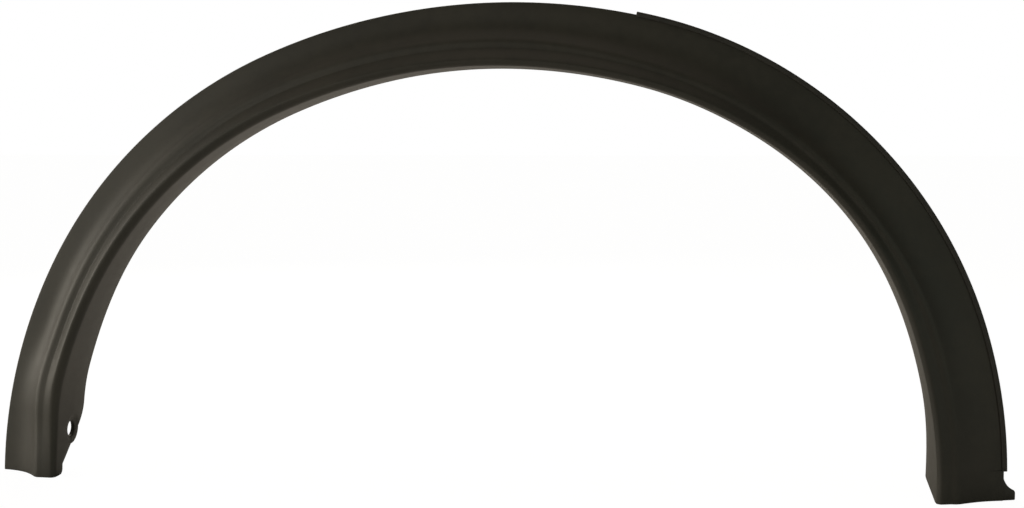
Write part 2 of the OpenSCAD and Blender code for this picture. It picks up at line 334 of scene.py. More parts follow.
def loft(name: str, rings: list[list[Vector]]) -> bpy.types.Object:
    """Joins closed rings of equal length into a solid with flat ends.

    Args:
        name: The object's name.
        rings: The rings, each a list of places in metres.

    Returns:
        The object.
    """
    count = len(rings[0])
    points = [point for ring in rings for point in ring]
    faces = [
        [j * count + i, (j + 1) * count + i, (j + 1) * count + (i + 1) % count, j * count + (i + 1) % count]
        for j in range(len(rings) - 1)
        for i in range(count)
    ]
    faces += [list(range(count)), list(range(len(points) - count, len(points)))]
    return make_piece(name, points, faces)


def turned(name: str, profile: list[Point], place: Matrix, sides: int) -> bpy.types.Object:
    """Turns a profile into a round solid.

    Args:
        name: The object's name.
        profile: Radius and height of each point, from the lower end to the upper end, in millimetres.
        place: Where the solid goes. Its axis is the local Z.
        sides: How many sides it has.

    Returns:
        The object.
    """
    angles = [2 * math.pi * k / sides for k in range(sides)]
    rings = [[place @ Vector((r * math.cos(a), r * math.sin(a), z)) for a in angles] for r, z in profile]
    return loft(name, rings)


def combine(body: bpy.types.Object, tool: bpy.types.Object, cut: Cut) -> None:
    """Joins, removes or intersects a solid, and deletes it.

    Args:
        body: The solid that stays.
        tool: The solid that acts on it.
        cut: How it acts.
    """
    modifier = body.modifiers.new(cut.name, "BOOLEAN")
    modifier.operation = cut.value
    modifier.solver = "MANIFOLD"
    modifier.object = tool
    bake_modifiers(body)
    mesh = tool.data
    bpy.data.objects.remove(tool)
    bpy.data.meshes.remove(mesh)


def shade(piece: bpy.types.Object, material: bpy.types.Material, crease: float) -> None:
    """Smooths a piece's shading up to an angle and gives it its finish.

    Args:
        piece: The object.
        material: The finish.
        crease: The angle in degrees above which an edge stays sharp.
    """
    mesh = piece.data
    mesh.materials.clear()
    mesh.materials.append(material)
    mesh.polygons.foreach_set("material_index", [0] * len(mesh.polygons))
    mesh.shade_smooth()
    mesh.set_sharp_from_angle(angle=math.radians(crease))


def local_frame(origin: Triple, angle: float, axis: str) -> Matrix:
    """Gives the matrix from a turned frame at a place in millimetres to the scene, in metres."""
    return Matrix.Scale(MM, 4) @ Matrix.Translation(origin) @ Matrix.Rotation(angle, 4, axis)


def bend(start: Point, corner: Point, end: Point, steps: int) -> list[Point]:
    """Rounds a corner.

    Args:
        start: Where the bend starts.
        corner: The corner that it rounds.
        end: Where it ends.
        steps: How many pieces the bend has.

    Returns:
        The bend's points, its two ends among them.
    """
    shares = [k / steps for k in range(steps + 1)]
    return [
        tuple(a * (1 - t) ** 2 + b * 2 * t * (1 - t) + c * t * t for a, b, c in zip(start, corner, end))
        for t in shares
    ]


def curve(ends: tuple[Point, Point, Point, Point], steps: int) -> list[Point]:
    """Draws a cubic curve.

    Args:
        ends: The first end, the two handles and the last end.
        steps: How many pieces the curve has.

    Returns:
        The curve's points after its first end.
    """
    shares = [k / steps for k in range(1, steps + 1)]
    return [
        tuple(
            a * (1 - t) ** 3 + b * 3 * t * (1 - t) ** 2 + c * 3 * t * t * (1 - t) + d * t ** 3
            for a, b, c, d in zip(*ends)
        )
        for t in shares
    ]


def shrunk(ring: list[Point], inset: float) -> list[Point]:
    """Moves a closed outline inwards.

    Args:
        ring: The outline.
        inset: How far it moves.

    Returns:
        The smaller outline.
    """
    if not inset:
        return ring
    area = sum(a[0] * b[1] - b[0] * a[1] for a, b in zip(ring, [*ring[1:], ring[0]]))
    side = math.copysign(inset, area)
    moved = []
    for i, (u, y) in enumerate(ring):
        before, after = Vector(ring[i - 1]), Vector(ring[(i + 1) % len(ring)])
        here = Vector((u, y))
        way = (here - before).normalized() + (after - here).normalized()
        way.normalize()
        moved.append((u - side * way.y, y + side * way.x))
    return moved


# The arch's path and section


@dataclass(frozen=True)
class Arc:
    """One arc of the outer edge. Headings are in degrees above level, lengths in millimetres."""

    centre: Point
    radius: float
    heading: float
    turn: float
    start: float

    @property
    def end(self) -> float:
        """Distance along the edge where the arc ends."""
        return self.start + self.radius * math.radians(self.turn)

    @staticmethod
    def out(heading: float) -> Point:
        """Gives the outward direction, along X and Z, at a heading."""
        return -math.sin(math.radians(heading)), math.cos(math.radians(heading))

    def point(self, heading: float, inwards: float) -> Point:
        """Gives X and Z at a heading, some way inside the arc."""
        x, z = self.out(heading)
        return self.centre[0] + (self.radius - inwards) * x, self.centre[1] + (self.radius - inwards) * z

    def steepness(self, height: float, inwards: float = 0.0) -> float:
        """Gives the angle from level at a height, some way inside the arc."""
        return math.degrees(math.acos((height - self.centre[1]) / (self.radius - inwards)))


@dataclass(frozen=True)
class OuterEdge:
    """The trim's outer edge: arcs that meet on a tangent. Distances run along it from the left foot.

    Lengths are in millimetres and angles in degrees.
    """

    reach: float = 442.6
    lean: float = 2.6
    names: tuple[str, ...] = ("Left leg", "Left shoulder", "Crown", "Right shoulder", "Right leg")
    radii: tuple[float, ...] = (448.0, 402.0, 532.0, 378.0, 434.0)
    turns: tuple[float, ...] = (25.7, 38.6, 36.9, 58.7)

    def arcs(self) -> list[Arc]:
        """Works out the arcs, from the left foot to the right one.

        Returns:
            The arcs. The last one ends on the ground.
        """
        first = 90 - self.lean
        x, z = Arc.out(first)
        centre = (-self.reach - self.radii[0] * x, -self.radii[0] * z)
        arcs = [Arc(centre, self.radii[0], first, self.turns[0], 0.0)]
        for radius, turn in zip(self.radii[1:], (*self.turns[1:], 0.0)):
            before = arcs[-1]
            heading = before.heading - before.turn
            x, z = Arc.out(heading)
            shift = before.radius - radius
            centre = (before.centre[0] + shift * x, before.centre[1] + shift * z)
            arcs.append(Arc(centre, radius, heading, turn, before.end))
        last = arcs.pop()
        return [*arcs, replace(last, turn=last.heading + last.steepness(0.0))]

    @property
    def length(self) -> float:
        """Length of the whole edge."""
        return self.arcs()[-1].end

    def arc_at(self, distance: float) -> Arc:
        """Finds the arc that holds a distance."""
        arcs = self.arcs()
        return arcs[max(0, bisect.bisect_right([arc.start for arc in arcs], distance) - 1)]

    def heading(self, distance: float) -> float:
        """Gives the heading at a distance."""
        arc = self.arc_at(distance)
        return arc.heading - math.degrees((distance - arc.start) / arc.radius)

    def place(self, distance: float) -> Point:
        """Gives X and Z on the edge at a distance."""
        return self.arc_at(distance).point(self.heading(distance), 0.0)

    def laid(self, distance: float, inwards: float) -> Point:
        """Gives a place beside the edge, on lines that end level at both feet.

        Args:
            distance: Length along the edge.
            inwards: How far inside the edge the place is.

        Returns:
            X and Z in millimetres.
        """
        arcs = self.arcs()
        arc, heading = self.arc_at(distance), self.heading(distance)
        if arc in (arcs[0], arcs[-1]):
            foot = arc.steepness(0.0, inwards)
            joint, end, level = (
                (arc.heading - arc.turn, arc.heading, foot) if arc == arcs[0]
                else (arc.heading, arc.heading - arc.turn, -foot))
            heading = joint + (heading - joint) * (level - joint) / (end - joint)
        return arc.point(heading, inwards)

    def right_distance(self, height: float) -> float:
        """Gives the distance at a height on the right leg."""
        arc = self.arcs()[-1]
        return arc.start + math.radians(arc.heading + arc.steepness(height)) * arc.radius

    def frame_at(self, distance: float) -> Matrix:
        """Gives a frame on the edge: X inwards, Y behind the face and Z along the edge."""
        x, z = self.place(distance)
        return local_frame((x, 0, z), math.radians(90 - self.heading(distance)), "Y")

    def tree(self, material: bpy.types.Material) -> GeometryTree:
        """Builds the Geometry Nodes tree that lays a straight solid over the arch.

        Its lines end level at the feet. X is read as the distance and -Z as the way inwards.

        Args:
            material: The solid's finish.

        Returns:
            The tree.
        """
        tree = GeometryTree("bend_over_arch")
        names = self.names
        sizes = {}
        for name, arc in zip(names, self.arcs()):
            sizes[f"{name} radius"] = arc.radius * MM
            sizes[f"{name} centre X"] = arc.centre[0] * MM
            sizes[f"{name} centre Z"] = arc.centre[1] * MM
            sizes[f"{name} heading"] = math.radians(arc.heading)
            sizes[f"{name} start"] = arc.start * MM
        given = tree.declare(sizes)
        along, y, z = tree.split(tree.node("GeometryNodeInputPosition").outputs[0])
        past = {name: along > given[f"{name} start"] for name in names[1:]}

        def of_each(size: str) -> dict[str, Value]:
            """Gives one size of every arc."""
            return {name: given[f"{name} {size}"] for name in names}

        def pick(of: dict[str, Value]) -> Value:
            """Reads a value of the arc that each point lies on.

            Args:
                of: The value of every arc.

            Returns:
                The value at the point.
            """
            value = of[names[0]]
            for before, name in zip(names, names[1:]):
                value = value + (of[name] - of[before]) * past[name]
            return value

        def fanned(name: str, joint: Value, end: Value, side: int) -> Value:
            """Spreads an end arc's headings so that every line ends level at the foot."""
            foot = (-given[f"{name} centre Z"] / (given[f"{name} radius"] + z)).acos() * side
            return joint + (headings[name] - joint) * (foot - joint) / (end - joint)

        centre_x, centre_z, radius = (pick(of_each(size)) for size in ("centre X", "centre Z", "radius"))
        headings = {
            name: given[f"{name} heading"] - (along - given[f"{name} start"]) / given[f"{name} radius"]
            for name in names
        }
        first, last = names[0], names[-1]
        ground = -(-given[f"{last} centre Z"] / given[f"{last} radius"]).acos()
        headings[first] = fanned(first, given[f"{names[1]} heading"], given[f"{first} heading"], 1)
        headings[last] = fanned(last, given[f"{last} heading"], ground, -1)
        inner = radius + z
        way = pick(headings)
        laid = tree.vector(X=centre_x - inner * way.sin(), Y=y, Z=centre_z + inner * way.cos())
        moved = tree.node("GeometryNodeSetPosition", {"Geometry": given["Geometry"], "Position": laid})
        tree.end(moved.outputs["Geometry"], material)
        return tree


@dataclass(frozen=True)
class Keys:
    """A size that eases from one named place along the arch to the next."""

    stops: tuple[Point, ...]

    def at(self, share: float) -> float:
        """Reads the size.

        Args:
            share: Place along the outer edge, from 0 to 1.

        Returns:
            The size there.
        """
        index = min(max(bisect.bisect_right([s for s, _ in self.stops], share) - 1, 0), len(self.stops) - 2)
        (start, low), (end, high) = self.stops[index], self.stops[index + 1]
        reach = min(max((share - start) / (end - start), 0.0), 1.0)
        return low + (high - low) * (1 - math.cos(math.pi * reach)) / 2


@dataclass(frozen=True)
class FaceSection:
    """The moulding's section. A point is a distance inwards from the outer edge and a Y, in millimetres.

    A share is a place along the outer edge, from 0 to 1.
    """

    width: Keys = Keys((
        (0, 59.7), (0.08, 53), (0.2, 52.6), (0.42, 53.3), (0.66, 56.8), (0.8, 54.4), (0.92, 57.3),
        (1, 56.8)))
    band: Keys = Keys((
        (0, 18.2), (0.08, 21.4), (0.2, 22.2), (0.34, 23), (0.5, 22), (0.66, 18), (0.78, 14), (0.9, 17.2),
        (1, 17.4)))
    crest: Keys = Keys(((0, 28.4), (0.045, 24.4), (0.115, 17.5), (0.42, 17.5), (0.8, 22.5), (1, 25.6)))
    top: Keys = Keys(((0, 28.9), (0.045, 26.9), (0.115, 26), (0.8, 26), (1, 27.4)))
    end_slope: Keys = Keys(((0, 1.15), (0.42, 1.15), (1, 0.6)))
    lip: Keys = Keys(((0, 4.5), (0.08, 6.5), (0.3, 7), (0.5, 5), (0.8, 4), (1, 4)))
    rim: Keys = Keys(((0, 3.2), (0.42, 3.2), (0.592, 7.2), (1, 9)))
    back: Keys = Keys(((0, 31), (0.08, 31), (0.2, 24), (0.66, 24), (0.8, 20), (0.92, 10.5), (1, 28)))
    wall: float = 2.5
    start_slope: float = 0.2
    rim_round: float = 1.0
    crest_round: Point = (3.0, 3.2)
    ledge_share: float = 0.28
    ledge_rise: float = -0.05
    rise_pull: float = 0.2
    cove_pull: float = 0.4
    crest_pull: float = 0.33
    lip_share: float = 0.4
    least_step: float = 0.5
    edge_round: float = 0.8
    rim_back_round: float = 0.35
    flange_shares: Point = (0.1, 0.5)
    rim_back_steps: int = 2
    edge_steps: int = 3
    cove_steps: int = 18
    bend_steps: int = 8
    rise_steps: int = 18
    lip_steps: int = 10

    @property
    def cove_start(self) -> int:
        """Which point of the show side starts the cove."""
        return self.rim_back_steps + 1 + self.bend_steps

    @property
    def face_end(self) -> int:
        """Which point of the show side ends the face, before the lip."""
        return self.cove_start + self.cove_steps + self.bend_steps + 1 + self.rise_steps

    def lip_radius(self, share: float) -> float:
        """Gives the lip's outer radius at a share."""
        most = self.band.at(share) * self.lip_share
        return max(self.wall + self.least_step, min(self.lip.at(share), most))

    def show(self, share: float, back: float) -> list[Point]:
        """Draws the show side, from the rim's back to the flange's back.

        Args:
            share: Place along the outer edge.
            back: How far the flange reaches back there.

        Returns:
            The points.
        """
        w, band, rim, crest = (keys.at(share) for keys in (self.width, self.band, self.rim, self.crest))
        top = max(self.top.at(share), crest + self.least_step)
        slope = self.end_slope.at(share)
        e, (k, after), r = self.rim_round, self.crest_round, self.lip_radius(share)
        crest_u = w - band
        ledge_l = band * self.ledge_share
        ledge = (crest_u + ledge_l, -crest - self.ledge_rise * (top - crest))
        ledge_slope = (ledge[1] + crest) / ledge_l
        cove_end = (crest_u - k, -crest + k * slope)
        cove_l = cove_end[0] - e
        crest_end = (crest_u + after, -crest + after * ledge_slope)
        rise_l = w - r - ledge[0]
        pull, last_pull = self.cove_pull * cove_l, self.crest_pull * cove_l
        rise_pull = self.rise_pull * rise_l
        rim_back = self.rim_back_round
        return [
            *bend((rim_back, 0), (0, 0), (0, -rim_back), self.rim_back_steps),
            *bend((0, -rim + e), (0, -rim + self.start_slope * e), (e, -rim), self.bend_steps),
            *curve((
                (e, -rim), (e + pull, -rim - pull * self.start_slope),
                (cove_end[0] - last_pull, cove_end[1] + last_pull * slope), cove_end), self.cove_steps),
            *bend(cove_end, (crest_u, -crest), crest_end, self.bend_steps)[1:],
            ledge,
            *curve((
                ledge, (ledge[0] + rise_pull, ledge[1] + rise_pull * ledge_slope),
                (w - r - rise_pull, -top), (w - r, -top)), self.rise_steps),
            *self._lip((w - r, r - top), r),
            *[(w, -top + r + (back + top - r) * part) for part in self.flange_shares],
            *bend((w, back - self.edge_round), (w, back), (w - self.edge_round, back), self.edge_steps),
        ]

    def hidden(self, share: float, back: float) -> list[Point]:
        """Draws the hidden side, one wall thickness behind the show side, from the rim to the flange's back.

        Args:
            share: Place along the outer edge.
            back: How far the flange reaches back there.

        Returns:
            The points.
        """
        p = self.show(share, back)
        w, wall, r, e = self.width.at(share), self.wall, self.lip_radius(share), self.edge_round
        rim_inside = p[self.cove_start][1] - (wall - self.rim_round) * self.start_slope
        rim_inside += wall * math.hypot(1, self.start_slope)
        first, last = self.cove_start + 2, self.face_end + 1
        shifted = [
            (u, y + wall * math.hypot(1, (after[1] - before[1]) / (after[0] - before[0])))
            for before, (u, y), after in zip(p[first - 1:last - 1], p[first:last], p[first + 1:])
        ]
        return [
            (wall, 0),
            (wall, rim_inside),
            *shifted,
            *self._lip((w - r, p[self.face_end][1] + r), r - wall),
            *bend((w - wall, back - e), (w - wall, back), (w - wall + e, back), self.edge_steps),
        ]

    def channel(self, share: float, setback: float) -> list[Point]:
        """Draws the channel behind the face, half way into its walls, as far as the ribs fill it.

        Args:
            share: Place along the outer edge.
            setback: How far the ribs stay behind the panel's plane.

        Returns:
            The closed outline.
        """
        show, hidden = self.show(share, 0.0), self.hidden(share, 0.0)
        w, r = self.width.at(share), self.lip_radius(share)
        first = self.cove_start + 1 + self.cove_steps // 3
        middle = [
            tuple((a + b) / 2 for a, b in zip(show[i], hidden[i - self.cove_start]))
            for i in range(first, self.face_end + 1)
        ]
        lip = self._lip((w - r, show[self.face_end][1] + r), r - self.wall / 2)
        return [*middle, *lip, (w - self.wall / 2, -setback), (middle[0][0], -setback)]

    def _lip(self, centre: Point, radius: float) -> list[Point]:
        """Draws a quarter circle from the face round to the flange, without its first point."""
        angles = [math.radians(-90 + 90 * k / self.lip_steps) for k in range(1, self.lip_steps + 1)]
        return [(centre[0] + radius * math.cos(a), centre[1] + radius * math.sin(a)) for a in angles]


def between(start: float, end: float, pitch: float) -> list[float]:
    """Spaces distances evenly between two others, about a pitch apart."""
    count = round((end - start) / pitch)
    return [start + (end - start) * k / count for k in range(1, count)]


def laid_loft(
    name: str,
    distances: list[float],
    end_round: tuple[Point, ...],
    draw: Callable[[float], list[Point]],
    tree: GeometryTree,
) -> bpy.types.Object:
    """Lofts a section on the straight and lays it over the arch.

    Args:
        name: The object's name.
        distances: Where the section is drawn, along the outer edge.
        end_round: The way in and the inset of each ring of the small rounded ends, which replace the first
            and the last distance. Without any, the ends are sharp.
        draw: Draws the section at a distance.
        tree: The tree that lays it over the arch.

    Returns:
        The object.
    """
    first, last = distances[0], distances[-1]
    inner = distances[1:-1] if end_round else distances
    stations = [
        *((first + d, inset) for d, inset in end_round),
        *((d, 0.0) for d in inner),
        *((last - d, inset) for d, inset in reversed(end_round)),
    ]
    rings = [[Vector((d, y, -u)) * MM for u, y in shrunk(draw(d), inset)] for d, inset in stations]
    piece = loft(name, rings)
    tree.apply(piece)
    return piece


# Finishes


@dataclass(frozen=True)
class Finish:
    """A plain finish, coloured through. Lengths are in millimetres."""

    name: str
    dark: Colour
    pale: Colour
    tones: Point
    roughness: float
    roughness_spread: float
    refraction: float

    def material(self) -> bpy.types.Material:
        """Builds the finish.

        Returns:
            The material.
        """
        material = bpy.data.materials.new(self.name)
        graph = Graph.of(material)
        tone, patch, heights = self.patterns(graph, graph.node("ShaderNodeTexCoord").outputs["Object"])
        bump = graph.node("ShaderNodeBump", {"Height": heights, "Distance": 1.0, "Strength": 1.0})
        shader = graph.node("ShaderNodeBsdfPrincipled", {
            "Base Color": graph.mix(tone.smooth(*self.tones), self.dark, self.pale),
            "Roughness": self.roughness + (patch - 0.5) * self.roughness_spread,
            "Normal": bump.outputs["Normal"],
            "IOR": self.refraction,
        })
        graph.node("ShaderNodeOutputMaterial", {"Surface": shader.outputs["BSDF"]})
        return material

    def patterns(self, graph: Graph, place: bpy.types.NodeSocket) -> tuple[Value, Value, Value]:
        """Adds the patterns of the colour and the roughness, and the heights in metres."""
        raise NotImplementedError


@dataclass(frozen=True)
class MouldedPlastic(Finish):
    """Grained satin plastic, as it comes out of the mould."""

    name: str = "moulded_plastic"
    dark: Colour = (0.0228, 0.0222, 0.0165, 1.0)
    pale: Colour = (0.0318, 0.030, 0.0222, 1.0)
    tones: Point = (0.35, 0.65)
    roughness: float = 0.46
    roughness_spread: float = 0.08
    refraction: float = 1.49
    layer_roughness: float = 0.5
    cloud_size: float = 70.0
    cloud_detail: float = 3.0
    mottles_across_cloud: float = 9.0
    mottle_detail: float = 2.0
    mottle_share: float = 0.3
    grain_size: float = 0.55
    grain_detail: float = 1.5
    grain_depth: float = 0.012
    sink_size: float = 38.0
    sink_detail: float = 1.0
    sink_depth: float = 0.05

    def patterns(self, graph: Graph, place: bpy.types.NodeSocket) -> tuple[Value, Value, Value]:
        """Adds clouds and mottles of colour, the mould's grain and wide shallow sinks.

        Args:
            graph: The material's tree.
            place: Where they are read.

        Returns:
            The colour's pattern, the roughness's pattern and the heights in metres.
        """
        layers = (
            (self.cloud_size, self.cloud_detail),
            (self.cloud_size / self.mottles_across_cloud, self.mottle_detail),
            (self.grain_size, self.grain_detail),
            (self.sink_size, self.sink_detail),
        )
        cloud, mottle, grain, sink = (graph.noise(place, *layer, self.layer_roughness) for layer in layers)
        tone = cloud * (1 - self.mottle_share) + mottle * self.mottle_share
        return tone, mottle, grain * (self.grain_depth * MM) + sink * (self.sink_depth * MM)


@dataclass(frozen=True)
class SealRubber(Finish):
    """Smooth dark extruded rubber with faint patches."""

    name: str = "seal_rubber"
    dark: Colour = (0.0175, 0.0172, 0.014, 1.0)
    pale: Colour = (0.0275, 0.0265, 0.0215, 1.0)
    tones: Point = (0.3, 0.7)
    roughness: float = 0.42
    roughness_spread: float = 0.12
    refraction: float = 1.52
    patch_size: float = 6.0
    patch_detail: float = 4.0
    patch_roughness: float = 0.6
    skin_depth: float = 0.01

    def patterns(self, graph: Graph, place: bpy.types.NodeSocket) -> tuple[Value, Value, Value]:
        """Adds the one pattern that colour, roughness and height follow."""
        patch = graph.noise(place, self.patch_size, self.patch_detail, self.patch_roughness)
        return patch, patch, patch * (self.skin_depth * MM)


# Pieces


@dataclass(frozen=True)
class FlangeEnd:
    """The tapered end of the flange over a foot, in millimetres."""

    front: float
    low: float
    reach: float
    top: float
    corner: float
    blend: float

    def back(self, height: float, full: float) -> float:
        """Gives the Y of the flange's back edge.

        Args:
            height: Height above the foot.
            full: How far the flange reaches back above its end.

        Returns:
            The Y there.
        """
        slant = self.front + (self.reach - self.front) * max(0.0, height - self.low) / (self.top - self.low)
        near = max(0.0, self.blend - abs(slant - full)) / self.blend
        drop = max(0.0, self.corner - height)
        rounding = self.corner - math.sqrt(self.corner ** 2 - drop ** 2)
        return min(slant, full) - near * near * self.blend / 4 - rounding


@dataclass
class ArchMoulding:
    """The moulded arch. Lengths are in millimetres."""

    edge: OuterEdge
    section: FaceSection
    material: bpy.types.Material
    ring_pitch: float = 4.0
    foot_pitches: tuple[Point, ...] = ((12.0, 0.6), (66.0, 1.5))
    end_round: tuple[Point, ...] = ((0.0, 0.35), (0.1, 0.1), (0.35, 0.0))
    left_end: FlangeEnd = FlangeEnd(-12.0, 9.0, 31.0, 47.0, 4.5, 12.8)
    right_end: FlangeEnd = FlangeEnd(-20.0, 0.0, 28.0, 10.0, 0.6, 6.7)
    hole_radius: float = 7.2
    hole_height: float = 37.0
    hole_back: float = 8.0
    hole_accuracy: float = 0.001
    dish_radius: float = 12.5
    dish_depth: float = 1.8
    dish_foot_round: Triple = (0.4, 0.2, 0.6)
    dish_rim_round: Triple = (0.8, 0.5, 0.02)
    pad_height: float = 2.6
    pad_rim: float = 1.5
    pad_round: float = 0.6
    pad_steps: int = 3
    houses: int = 7
    house_span: Point = (0.07, 0.93)
    house_width: float = 20.0
    plate_length: float = 26.0
    plate_thickness: float = 2.0
    slab_size: Point = (70.0, 40.0)
    rib_thickness: float = 1.8
    rib_setback: float = 1.0
    seat_radius: float = 4.0
    seat_sides: int = 40
    slot_width: float = 6.6
    slot_overrun: float = 1.1
    seat_reach: float = 16.0
    toe_reach: float = 11.1
    toe_tip: float = 8.0
    toe_sweep: float = 15.5
    toe_turn: float = 17.0
    toe_round: float = 0.5
    toe_round_share: float = 0.3
    toe_corner: float = 2.0
    toe_foot_corner: float = 1.0
    toe_steps: int = 20
    groove_height: float = 26.0
    groove_start: float = -1.0
    groove_length: float = 11.0
    groove_size: Point = (1.0, 0.6)
    groove_run_out: Point = (1.0, 0.2)
    round_sides: int = 96
    round_steps: int = 4
    crease: float = 34.0
    overlap: float = 0.5

    def build(self) -> bpy.types.Object:
        """Builds the moulding as one closed shell.

        Returns:
            The object.
        """
        tree, distances = self.edge.tree(self.material), self._distances()
        body = laid_loft("moulding", distances, self.end_round, self._ring, tree)
        channel = laid_loft("channel", distances[1:-1], (), self._channel, tree)
        ribs = self._ribs()
        combine(ribs, channel, Cut.KEEP_COMMON)
        combine(ribs, self._plates(), Cut.JOIN)
        for extra in (ribs, self._pad(), self._toe()):
            combine(body, extra, Cut.JOIN)
        for tool in (self._hole(), self._groove()):
            combine(body, tool, Cut.REMOVE)
        shade(body, self.material, self.crease)
        return body

    def _distances(self) -> list[float]:
        """Spaces the rings along the edge, closer together at the feet.

        Returns:
            The distances, from one foot to the other.
        """
        near = [0.0]
        for zone, pitch in self.foot_pitches:
            near += [*between(near[-1], zone, pitch), zone]
        far = [self.edge.length - distance for distance in reversed(near)]
        return [*near, *between(near[-1], far[0], self.ring_pitch), *far]

    def _ring(self, distance: float) -> list[Point]:
        """Draws the moulding's whole section at a distance."""
        share, back = distance / self.edge.length, self._flange_back(distance)
        return [*self.section.show(share, back), *reversed(self.section.hidden(share, back))]

    def _channel(self, distance: float) -> list[Point]:
        """Draws the space behind the face at a distance."""
        return self.section.channel(distance / self.edge.length, self.rib_setback)

    def _flange_back(self, distance: float) -> float:
        """Works out how far the flange reaches back, with its two tapered ends.

        Args:
            distance: Length along the edge.

        Returns:
            The Y of the flange's back edge.
        """
        share = distance / self.edge.length
        height = self.edge.laid(distance, self.section.width.at(share))[1]
        end = self.left_end if share < 0.5 else self.right_end
        return end.back(max(height, 0.0), self.section.back.at(share))

    def _stations(self, name: str, shares: list[float]) -> bpy.types.Object:
        """Marks places along the edge that a Geometry Nodes tree fills.

        Args:
            name: The object's name.
            shares: The places, as shares of the edge's length.

        Returns:
            An object with a point at each place, its turn and the face's width there.
        """
        mesh = bpy.data.meshes.new(name)
        distances = [share * self.edge.length for share in shares]
        mesh.from_pydata([Vector((x, 0, z)) * MM for x, z in map(self.edge.place, distances)], [], [])
        turns = [math.radians(90 - self.edge.heading(d)) for d in distances]
        widths = [self.section.width.at(share) * MM for share in shares]
        for attribute, values in (("turn", turns), ("width", widths)):
            mesh.attributes.new(attribute, "FLOAT", "POINT").data.foreach_set("value", values)
        return add_object(name, mesh)

    def _house_shares(self) -> list[float]:
        """Spaces the clip houses evenly, as shares of the edge's length."""
        first, last = self.house_span
        return [first + (last - first) * i / (self.houses - 1) for i in range(self.houses)]

    def _ribs(self) -> bpy.types.Object:
        """Makes the walls of the clip houses and the ribs between them, as slabs across the channel.

        Returns:
            The slabs.
        """
        shares = self._house_shares()
        between_houses = [(a + b) / 2 for a, b in zip(shares, shares[1:])]
        house_walls = self._slabs("house_walls", shares, 2)
        combine(house_walls, self._slabs("plain_ribs", between_houses, 1), Cut.JOIN)
        return house_walls

    def _slabs(self, name: str, shares: list[float], walls: int) -> bpy.types.Object:
        """Puts slabs across the channel at each place.

        Args:
            name: The object's name.
            shares: The places, as shares of the edge's length.
            walls: How many slabs stand at each place.

        Returns:
            The slabs.
        """
        tree = GeometryTree(name)
        given = tree.declare({
            "Slab length": self.slab_size[0] * MM,
            "Slab depth": self.slab_size[1] * MM,
            "Slab thickness": self.rib_thickness * MM,
            "Wall spacing": self.house_width * MM,
            "Walls": walls,
        })
        length, depth, spacing = given["Slab length"], given["Slab depth"], given["Wall spacing"]
        slab = tree.block(tree.vector(X=length, Y=depth, Z=given["Slab thickness"]),
                          tree.vector(X=length / 2, Y=depth / -2))
        row = tree.node("GeometryNodeMeshLine", {
            "Count": given["Walls"],
            "Start Location": tree.vector(Z=(given["Walls"] - 1) * spacing / -2),
            "Offset": tree.vector(Z=spacing),
        })
        walled = tree.node("GeometryNodeInstanceOnPoints", {"Points": row.outputs["Mesh"], "Instance": slab})
        tree.end(tree.at_stations(given["Geometry"], walled.outputs["Instances"]), self.material)
        piece = self._stations(name, shares)
        tree.apply(piece)
        return piece

    def _plates(self) -> bpy.types.Object:
        """Makes the slotted plate across each clip house.

        Returns:
            The plates.
        """
        tree = GeometryTree("slotted_plates")
        given = tree.declare({
            "Plate length": self.plate_length * MM,
            "Plate thickness": self.plate_thickness * MM,
            "House width": self.house_width * MM,
            "Seat radius": self.seat_radius * MM,
            "Slot width": self.slot_width * MM,
            "Seat reach": self.seat_reach * MM,
            "Setback": self.rib_setback * MM,
            "Half wall": self.section.wall * MM / 2,
            "Sides": self.seat_sides,
        })
        reach, seat_reach, thick = given["Plate length"], given["Seat reach"], given["Plate thickness"]
        height = given["Setback"] * -1 - thick / 2

        def block(start: Value, end: Value, depth: Value, width: Value) -> bpy.types.NodeSocket:
            """Adds a block between two distances from the flange."""
            size = tree.vector(X=end - start, Y=depth, Z=width)
            return tree.block(size, tree.vector(X=(start + end) / 2, Y=height))

        plate = block(-reach, -given["Half wall"], thick, given["House width"])
        slot = block(reach * -self.slot_overrun, -seat_reach, thick * 2, given["Slot width"])
        disc = tree.node("GeometryNodeMeshCylinder", {
            "Vertices": given["Sides"], "Radius": given["Seat radius"], "Depth": thick * 2})
        seat_place = tree.vector(X=-seat_reach, Y=height)
        seat = tree.moved(disc.outputs["Mesh"], Translation=seat_place, Rotation=(math.pi / 2, 0, 0))
        cut = tree.node("GeometryNodeMeshBoolean", {"Mesh 1": plate, "Mesh 2": slot},
                        operation="DIFFERENCE", solver="EXACT")
        tree.tree.links.new(seat, cut.inputs["Mesh 2"])
        moved = tree.node("GeometryNodeTranslateInstances", {
            "Instances": tree.at_stations(given["Geometry"], cut.outputs["Mesh"]),
            "Translation": tree.vector(X=tree.attribute("width")),
            "Local Space": True,
        })
        tree.end(moved.outputs["Instances"], self.material)
        piece = self._stations("slotted_plates", self._house_shares())
        tree.apply(piece)
        return piece

    def _hole_place(self) -> Matrix:
        """Finds the screw hole in the left flange end.

        Returns:
            The hole's frame on the flange's surface, with Z out of the flange, from millimetres to metres.
        """
        width, length = self.section.width, self.edge.length
        near, far = 0.0, self.edge.arcs()[1].start
        while far - near > self.hole_accuracy:
            middle = (near + far) / 2
            if self.edge.laid(middle, width.at(middle / length))[1] < self.hole_height:
                near = middle
            else:
                far = middle
        (x, z), (next_x, next_z) = (self.edge.laid(d, width.at(d / length)) for d in (near, near + 1))
        return local_frame((x, self.hole_back, z), math.atan2(next_x - x, next_z - z) + math.pi / 2, "Y")

